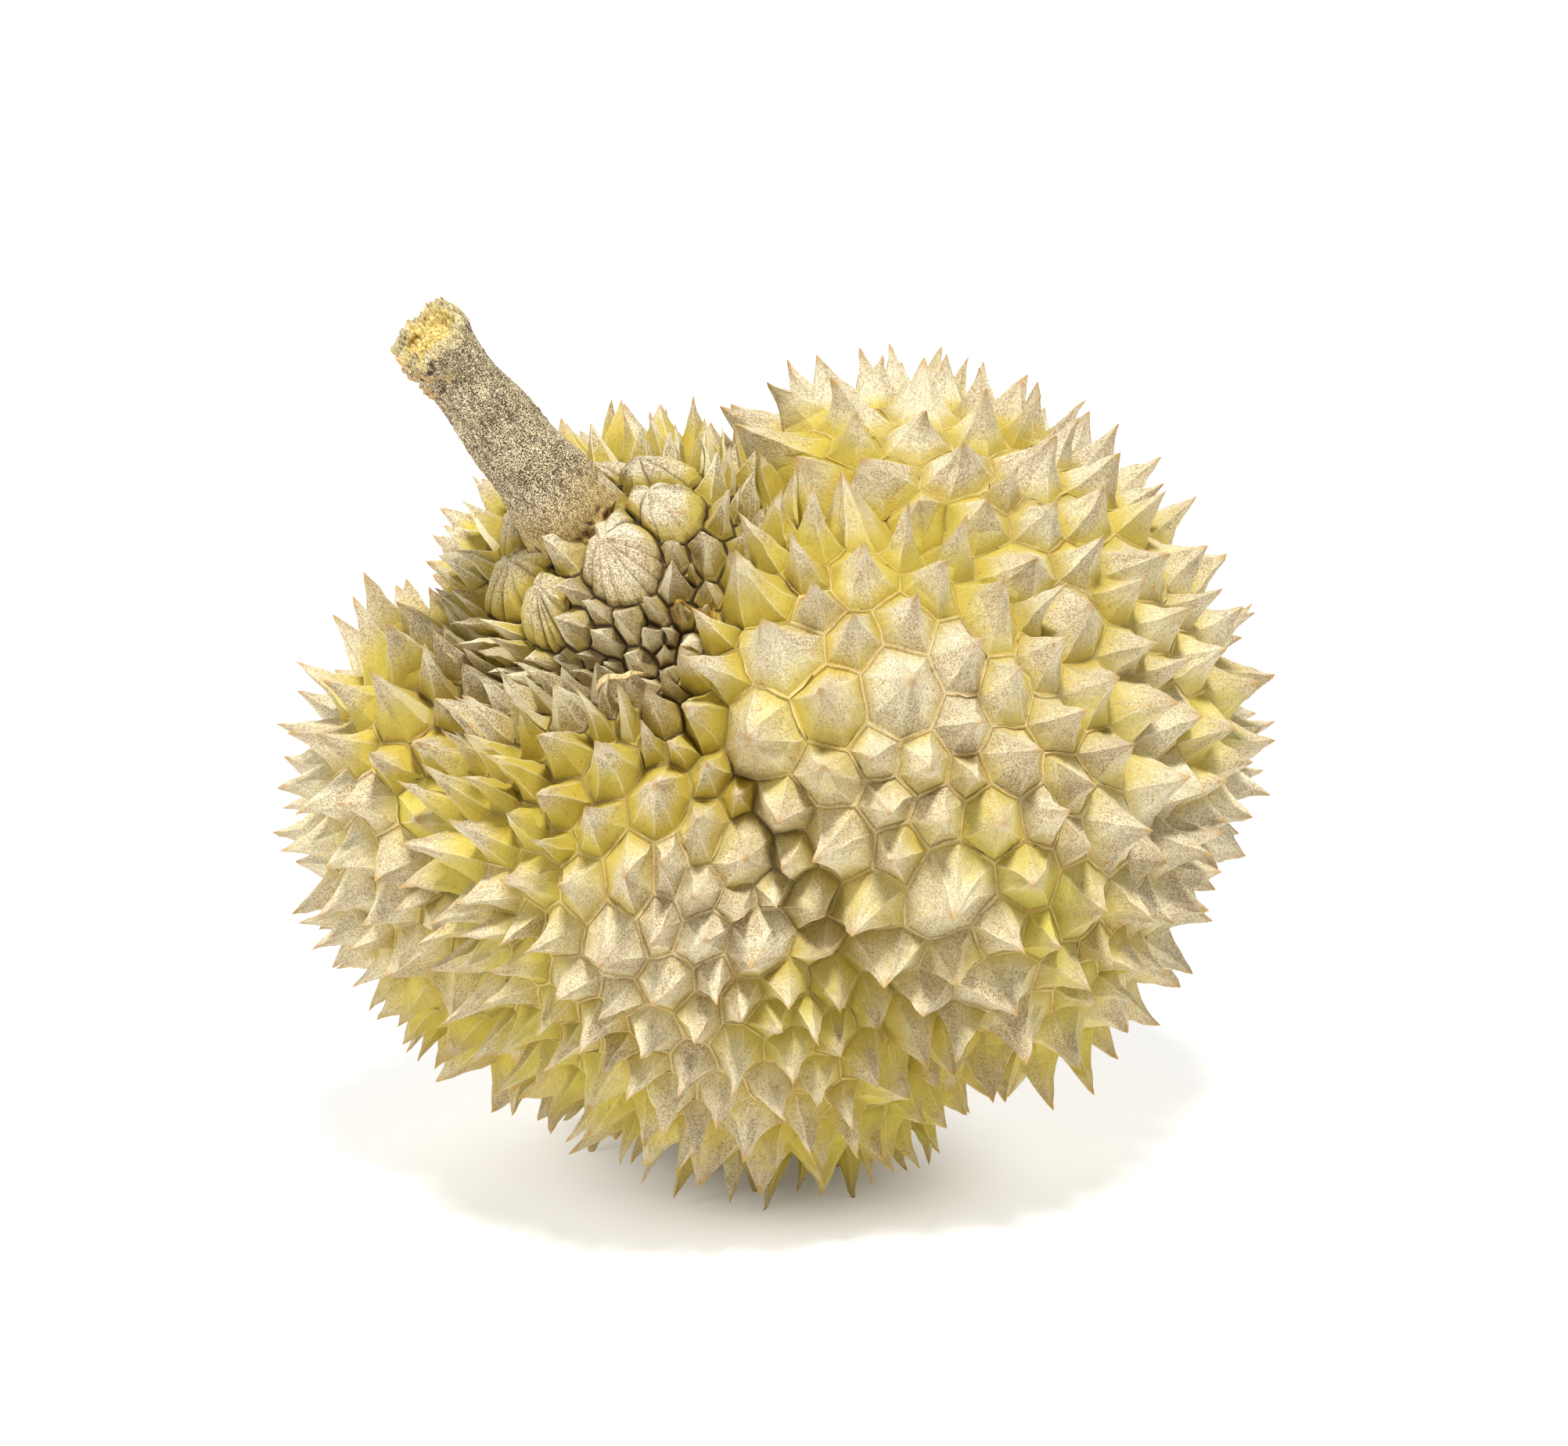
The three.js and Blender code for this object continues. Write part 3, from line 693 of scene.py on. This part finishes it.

# painted shade: the gaps between buds and knobs and the folds of the shells are darkened, as shade
# falls in them
gap = (1 - edge.fade(0.1, 1)) * ((1 - crest) * 0.8 + (1 - net) * 0.3)
gap = gap + (1 - start.mark("fold").fade(0.05, 0.5)) * 0.75
shade = gap.tint(shade, PAINTED_CREASE_SHADE)

# a few golden-brown crumbs cling anywhere
specks_of_gold = place.noise(CRUMBS, 2).fade(0.68, 0.74)
shade = (specks_of_gold * 0.7).tint(shade, CRUMB_GOLD)

relief = streaks * 0.5 + wrinkles * 0.35 + specks * 0.7
finish(rind, shade, 0.62 + wrinkles * 0.2, relief.bumps(GRAIN_STRENGTH, GRAIN_HEIGHT), 0.35)
husk_mesh.materials.append(rind)
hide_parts("husk")
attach(husk, "root")


# ---- stem ---------------------------------------------------------------------
# The cut fruit stalk, grown out of the husk through a ring of shells: tough grey
# brown bark, thick at its foot, with a ragged end where it was broken off.

# the profile, as radius and height, runs up the bark to the rim and then down
# into the hollow end
STEM_LENGTH, STEM_SUNK, STEM_BEND = 65.5, 4, 0.9
STEM_PROFILE = np.array([
    (7, -STEM_SUNK), (10.8, -1.8), (12.3, 2.2), (12.4, 7), (11.4, 13), (10.2, 20),
    (9.3, 29), (8.7, 39), (8.3, 49), (8.3, 57), (9.2, 61.5), (9.2, 64), (8.0, STEM_LENGTH),
    (6.6, 64.9), (5.6, 62.8), (4.4, 61.4), (2.4, 61.6), (0, 63),
])
STEM_ROUND, STEM_RINGS = 144, 220
PROFILE_RIM, RIM_MARK = 12, (62.5, 64.5)
RIM_RADIUS, RIM_FROM, RIM_FULL, RIM_TOOTH = 9, 59.5, 64.5, 0.7
END_SLANT, SLANT_FROM, SLANT_TURN = 5, 45, math.radians(40)

# the bark's grooves, pits and swells, each by size and height, that fade in over
# these radii; it crumbles at the end, most on its left and low side, and at the foot
GROOVES, PITS, SWELLS, FADE_IN = (5, 0.16), (1.6, 0.10), (14, 0.25), (2, 6)
CRUMB_FROM, CRUMB_FULL, CRUMB_TURN, CRUMB_HEIGHT = 44, 60, math.radians(112), 0.75
CRUMB_REACH, FOOT_CRUMB_TOP, FOOT_CRUMB_HEIGHT = 9, 9, 0.45

stretches = np.linalg.norm(np.diff(STEM_PROFILE, axis=0), axis=1)
travel = np.concatenate([[0], np.cumsum(stretches)])
spread = np.linspace(0, travel[-1], STEM_RINGS)
profile = np.stack([np.interp(spread, travel, STEM_PROFILE[:, k]) for k in range(2)], axis=1)
for _ in range(3):
    profile[1:-1] = (profile[:-2] + 2 * profile[1:-1] + profile[2:]) / 4
turn = np.arange(STEM_ROUND) * 2 * math.pi / STEM_ROUND
radii = np.repeat(profile[:-1, 0], STEM_ROUND)
levels = np.repeat(profile[:-1, 1], STEM_ROUND)
turns = np.tile(turn, STEM_RINGS - 1)
local = np.stack([radii * np.cos(turns), levels, radii * np.sin(turns)], axis=1)
grooves = wander(local * [1, 0.25, 1], GROOVES[0]) * GROOVES[1]
pits = wander(local, PITS[0], 16) * PITS[1]
swells = wander(local, SWELLS[0]) * SWELLS[1]
fade_in = smooth(radii, *FADE_IN)
at_side = smooth(np.cos(turns - CRUMB_TURN), -0.3, 0.9)
at_end = smooth(levels + CRUMB_REACH * at_side, CRUMB_FROM + CRUMB_REACH, CRUMB_FULL)
at_end = at_end * (0.35 + 0.65 * at_side)
at_foot = 1 - smooth(levels, 1, FOOT_CRUMB_TOP)
crumbs = wander(local * [1, 0.6, 1], 1.9, 24) * 0.5 + wander(local, 5, 16) * 0.6
crumbs = crumbs * np.maximum(at_end, at_foot * 0.8)
radii = radii + (grooves + pits + swells) * fade_in
radii = radii + crumbs * (CRUMB_HEIGHT * at_end + FOOT_CRUMB_HEIGHT * at_foot) * fade_in
broken = smooth(levels, RIM_FROM, RIM_FULL) * radii / RIM_RADIUS
teeth = np.sin(3 * turns + 0.6) + 0.5 * np.sin(7 * turns)
splinters = wander(local, 1.8, 16) * 0.5 + wander(local, 4, 12) * 0.4
raised = levels + (RIM_TOOTH * teeth + splinters) * broken
slant = 0.5 + 0.5 * np.cos(turns - SLANT_TURN) * radii / RIM_RADIUS
raised = raised - END_SLANT * smooth(levels, SLANT_FROM, STEM_LENGTH) * slant
bend = STEM_BEND * np.sin(2 * math.pi * np.clip(levels, 0, STEM_LENGTH) / STEM_LENGTH)
local = np.stack([radii * np.cos(turns) + bend, raised, radii * np.sin(turns)], axis=1)
local = np.vstack([local, [[bend[-1], profile[-1, 1], 0], [0, -STEM_SUNK, 0]]])

across = unit(np.cross([0, 0, 1], STEM_DIRECTION))
third = np.cross(across, STEM_DIRECTION)
stem_points = FOOT_POINT + HEART + local @ np.stack([across, STEM_DIRECTION, third])
stem_faces = []
for ring in range(STEM_RINGS - 2):
    for k in range(STEM_ROUND):
        a, b = ring * STEM_ROUND + k, ring * STEM_ROUND + (k + 1) % STEM_ROUND
        stem_faces.append([a, a + STEM_ROUND, b + STEM_ROUND, b])
top_ring, top_id = (STEM_RINGS - 2) * STEM_ROUND, (STEM_RINGS - 1) * STEM_ROUND
for k in range(STEM_ROUND):
    stem_faces.append([top_ring + k, top_id, top_ring + (k + 1) % STEM_ROUND])
    stem_faces.append([(k + 1) % STEM_ROUND, top_id + 1, k])
stem_mesh = bpy.data.meshes.new("stem_bark")
stem_mesh.from_pydata((stem_points / MM_PER_METRE).tolist(), [], stem_faces)
stem_mesh.update()
# past the profile's rim the surface is inside the hollow end; the last two points
# are the middles of the end and of the foot
past_rim = smooth(spread[:-1], travel[PROFILE_RIM] + 0.6, travel[PROFILE_RIM] + 3)
marks = {
    "height": local[:, 1],
    "rim": np.append(smooth(levels, *RIM_MARK), [0, 0]),
    "crumb": np.append(crumbs, [0, 0]),
    "inside": np.append(np.repeat(past_rim, STEM_ROUND), [1, 0]),
}
for name, values in marks.items():
    layer = stem_mesh.attributes.new(name, "FLOAT", "POINT")
    layer.data.foreach_set("value", values.astype(np.float32))
layer = stem_mesh.attributes.new("bark_place", "FLOAT_VECTOR", "POINT")
layer.data.foreach_set("vector", local.astype(np.float32).ravel())
stem_mesh.polygons.foreach_set("use_smooth", [True] * len(stem_faces))
stem = bpy.data.objects.new("stem_bark", stem_mesh)
bpy.context.scene.collection.objects.link(stem)

# scales of the bark's specks, clouds, cracks and fibres, per millimetre
BARK_SPECKS, FINE_SPECKS, CLOUDS, CRACKS, BARK_FIBRES = 3.4, 5, 0.14, 0.55, 1.6
BARK_STRENGTH, BARK_HEIGHT = 0.7, 0.0005
BARK_DARK, BARK_MAUVE, BARK_SPECK = colour(84, 62, 36), colour(98, 72, 62), colour(246, 230, 186)
CRUMB_OCHRE, CRUMB_DARK, FOOT_OCHRE = colour(208, 172, 112), colour(92, 68, 54), colour(196, 162, 78)
BROKEN_GOLD, BROKEN_PALE, BROKEN_DARK = colour(214, 180, 86), colour(240, 224, 160), colour(128, 94, 52)

bark, start = new_material("durian_bark")
height, crumb = start.mark("height"), start.mark("crumb")
rim, inside_end = start.mark("rim"), start.mark("inside")
place = start.node("Attribute", {"attribute_name": "bark_place"}, {}, output="Vector")
specks = place.stretch((1, 0.8, 1)).noise(BARK_SPECKS, 2, 0.6)
fine_specks = place.noise(FINE_SPECKS, 2)
clouds = place.noise(CLOUDS, 3)
ground = clouds.fade(0.35, 0.65).tint(BARK_MAUVE, BARK_DARK)
speckle = specks + (fine_specks - 0.5) * 0.5 - (clouds - 0.5) * 0.1
shade = speckle.fade(0.45, 0.58).tint(ground, BARK_SPECK)
cracks = place.stretch((1, 0.22, 1)).noise(CRACKS, 3, 0.6)
cracks = cracks.fade(0.47, 0.5) * (1 - cracks.fade(0.5, 0.53))
shade = (cracks * 0.75).tint(shade, CRUMB_DARK)
shade = ((1 - height.fade(0, 20)) * 0.6).tint(shade, FOOT_OCHRE)
shade = (crumb.fade(0.15, 0.8) * 0.8).tint(shade, CRUMB_OCHRE)
shade = ((0 - crumb).fade(0.2, 0.8) * 0.85).tint(shade, CRUMB_DARK)
fibres = place.stretch((1, 0.3, 1)).noise(BARK_FIBRES, 3, 0.7)
wood = fibres.fade(0.42, 0.62).tint(BROKEN_GOLD, BROKEN_PALE)
wood = (1 - fibres.fade(0.36, 0.46)).tint(wood, BROKEN_DARK)
shade = (rim * fibres.fade(0.35, 0.6) * 0.6).tint(shade, BROKEN_PALE)
shade = inside_end.tint(shade, wood)
relief = specks * 0.8 + fine_specks * 0.4 - cracks
finish(bark, shade, 0.75 + fine_specks * 0.2, relief.bumps(BARK_STRENGTH, BARK_HEIGHT), 0.25)
stem_mesh.materials.append(bark)
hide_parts("stem")
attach(stem, "root")


# ---- scraps -------------------------------------------------------------------
# Three shreds of dry skin caught among the buds in front of the stem: thin strips
# that curled as they dried. Each lies over the buds and sticks to them.

SCRAP_THICKNESS, SCRAP_CLEARANCE, SCRAP_STEPS = 0.3, 0.35, 28
SCRAP_BRIDGES, SCRAP_SMOOTHINGS = 3, 6
SCRAP_SECTION = [(1, 1), (-1, 1), (-1, -1), (1, -1)]
VEINS, VEIN_STRENGTH, VEIN_HEIGHT = 900, 0.5, 0.0002


def dry_skin(name, dark, pale):
    material, start = new_material(name)
    veins = start.node("TexCoord", {}, {}, output="Object").noise(VEINS, 3, 0.6)
    shade = veins.fade(0.35, 0.65).tint(dark, pale)
    finish(material, shade, 0.55 + veins * 0.2, veins.bumps(VEIN_STRENGTH, VEIN_HEIGHT), 0.4)
    return material


brown_skin = dry_skin("dry_skin_brown", colour(122, 84, 30), colour(186, 142, 58))
tan_skin = dry_skin("dry_skin_tan", colour(196, 164, 104), colour(236, 214, 160))

# where a scrap starts as seen from the heart, which way it runs, its length, its
# width, how far it turns on the way, how it twists and its material
SCRAPS = [
    ("scrap_curl", (-0.27, -0.73, 0.63), (-0.5, 0.3, 0.8), 9, 0.9, -200, 1.2, brown_skin),
    ("scrap_strand", (-0.19, -0.67, 0.71), (0.1, -0.4, -0.8), 6, 0.55, 20, 0.5, brown_skin),
    ("scrap_strip", (-0.46, -0.79, 0.42), (0.9, 0.1, 0.35), 12, 1.5, 16, 0.7, tan_skin),
]

# the husk is felt for along rays that start clear of every spine
OUTSIDE = 200
husk_tree = BVHTree.FromPolygons(husk_points.tolist(), mesh_faces)


def skin_radius(direction):
    """How far from the heart the husk's outside lies in one direction."""
    outside = HEART + direction * OUTSIDE
    hit = husk_tree.ray_cast(Vector(outside), Vector(-direction))[0]
    return float(np.linalg.norm(np.array(hit) - HEART))


for name, begin, heading, length, width, turn, twist, skin_material in SCRAPS:
    out, heading = unit(np.array(begin)), np.array(heading)
    point = HEART + out * skin_radius(out)
    step = length / SCRAP_STEPS
    outs, radii = [], []
    for _ in range(SCRAP_STEPS + 1):
        out = unit(point - HEART)
        outs.append(out)
        radii.append(skin_radius(out))
        heading = unit(heading - out * (heading @ out))
        heading = unit(heading + np.cross(out, heading) * math.radians(turn) / SCRAP_STEPS)
        point = point + heading * step
    # it bridges the gaps between the buds under it
    radii = np.array(radii)
    for _ in range(SCRAP_BRIDGES):
        radii = np.max([radii, np.roll(radii, 1), np.roll(radii, -1)], axis=0)
    for _ in range(SCRAP_SMOOTHINGS):
        radii[1:-1] = (radii[:-2] + 2 * radii[1:-1] + radii[2:]) / 4
    outs = np.array(outs)
    path = HEART + outs * (radii + SCRAP_CLEARANCE)[:, None]
    along = unit(np.gradient(path, axis=0))
    side = unit(np.cross(along, outs))
    share = np.linspace(0, 1, SCRAP_STEPS + 1)[:, None]
    flat = side * np.cos(twist * (share - 0.4)) + outs * np.sin(twist * (share - 0.4))
    normal = np.cross(along, flat)
    half = width / 2 * (0.2 + 0.8 * np.sin(math.pi * (0.1 + 0.85 * share)) ** 0.8)
    thick = SCRAP_THICKNESS / 2
    edges = [path + flat * half * a + normal * thick * b for a, b in SCRAP_SECTION]
    scrap_points = np.stack(edges, axis=1).reshape(-1, 3)
    scrap_faces = [[3, 2, 1, 0], [4 * SCRAP_STEPS + k for k in range(4)]]
    for ring in range(SCRAP_STEPS):
        for k in range(4):
            a, b = 4 * ring + k, 4 * ring + (k + 1) % 4
            scrap_faces.append([a, b, b + 4, a + 4])
    scrap_mesh = bpy.data.meshes.new(name)
    scrap_mesh.from_pydata((scrap_points / MM_PER_METRE).tolist(), [], scrap_faces)
    scrap_mesh.update()
    scrap_mesh.materials.append(skin_material)
    scrap = bpy.data.objects.new(name, scrap_mesh)
    bpy.context.scene.collection.objects.link(scrap)
    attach(scrap, "root")


# ---- floor, lights and camera ---------------------------------------------------
# A white sheet that glows, dimmed to a painted shadow right under the fruit, four
# large soft lamps round it, and a long lens that looks down on it a little.

# the sheet's glow is dimmed to a painted shadow out to the first of these distances, full from the
# second
FLOOR_REACH, FLOOR_GLOW, PAINTED_SHADOW_REACH = 8, 0.53, (0.015, 0.07)
FIBRES, FIBRE_STRENGTH, FIBRE_HEIGHT = 60, 0.05, 0.0002
WORLD_LIGHT = 0.12
floor_mesh = bpy.data.meshes.new("floor")
floor_corners = [(x * FLOOR_REACH, y * FLOOR_REACH, 0) for x, y in [(-1, -1), (1, -1), (1, 1), (-1, 1)]]
floor_mesh.from_pydata(floor_corners, [], [(0, 1, 2, 3)])
floor = bpy.data.objects.new("floor", floor_mesh)
bpy.context.scene.collection.objects.link(floor)
FLOOR_PAPER, FLOOR_FIBRE = colour(208, 208, 208), colour(214, 214, 214)
FLOOR_PAINTED_SHADOW, FLOOR_WHITE = colour(130, 127, 122), colour(255, 255, 255)
paper, start = new_material("white_sheet")
place = start.node("TexCoord", {}, {}, output="Object")
fibre = place.noise(FIBRES, 3)
shade = fibre.tint(FLOOR_PAPER, FLOOR_FIBRE)
surface = finish(paper, shade, 0.8 + fibre * 0.1, fibre.bumps(FIBRE_STRENGTH, FIBRE_HEIGHT), 0.2)
# painted shadow: the glow fades to grey right under the fruit
from_middle = start.node("VectorMath", {"operation": "LENGTH"}, {0: place}, output="Value")
glow_with_painted_shadow = from_middle.fade(*PAINTED_SHADOW_REACH).tint(FLOOR_PAINTED_SHADOW, FLOOR_WHITE)
paper.node_tree.links.new(glow_with_painted_shadow.socket, surface.inputs["Emission Color"])
surface.inputs["Emission Strength"].default_value = FLOOR_GLOW
floor_mesh.materials.append(paper)

world = bpy.data.worlds.new("studio")
bpy.context.scene.world = world
world.use_nodes = True
background = world.node_tree.nodes["Background"]
background.inputs["Color"].default_value = (1, 1, 1, 1)
background.inputs["Strength"].default_value = WORLD_LIGHT

# each lamp's place and side in metres and its power in watts; the one at the back
# shines straight down on the sheet, and the others on the fruit's middle
AIM_HEIGHT = 0.1
for name, spot, size, power in [
    ("lamp_top", (0.1, -1.05, 2.55), 0.45, 82),
    ("lamp_left", (-1.3, -0.8, 0.9), 0.7, 12),
    ("lamp_right", (1.3, -0.1, 0.9), 0.7, 5),
    ("lamp_back", (0, 3.2, 1.6), 2.5, 110),
]:
    lamp_data = bpy.data.lights.new(name, "AREA")
    lamp_data.size = size
    lamp_data.energy = power
    lamp = bpy.data.objects.new(name, lamp_data)
    lamp.location = spot
    aim = Vector((0, spot[1] if name == "lamp_back" else 0, AIM_HEIGHT)) - Vector(spot)
    lamp.rotation_euler = aim.to_track_quat("-Z", "Y").to_euler()
    bpy.context.scene.collection.objects.link(lamp)

PITCH, LENS, SENSOR = math.radians(15), 105.9, 36
CAMERA_DISTANCE, CAMERA_RIGHT, CAMERA_UP = 1150, 2.5, 10.3
view_up = np.array([0, math.sin(PITCH), math.cos(PITCH)])
toward_camera = np.array([0, -math.cos(PITCH), math.sin(PITCH)])
spot = HEART + CAMERA_RIGHT * np.array([1, 0, 0]) + CAMERA_UP * view_up
spot = spot + CAMERA_DISTANCE * toward_camera
camera_data = bpy.data.cameras.new("camera")
camera_data.lens = LENS
camera_data.sensor_width = SENSOR
camera = bpy.data.objects.new("camera", camera_data)
camera.location = spot / MM_PER_METRE
camera.rotation_euler = (math.pi / 2 - PITCH, 0, 0)
bpy.context.scene.collection.objects.link(camera)
bpy.context.scene.camera = camera
bpy.context.scene.view_settings.view_transform = "Standard"
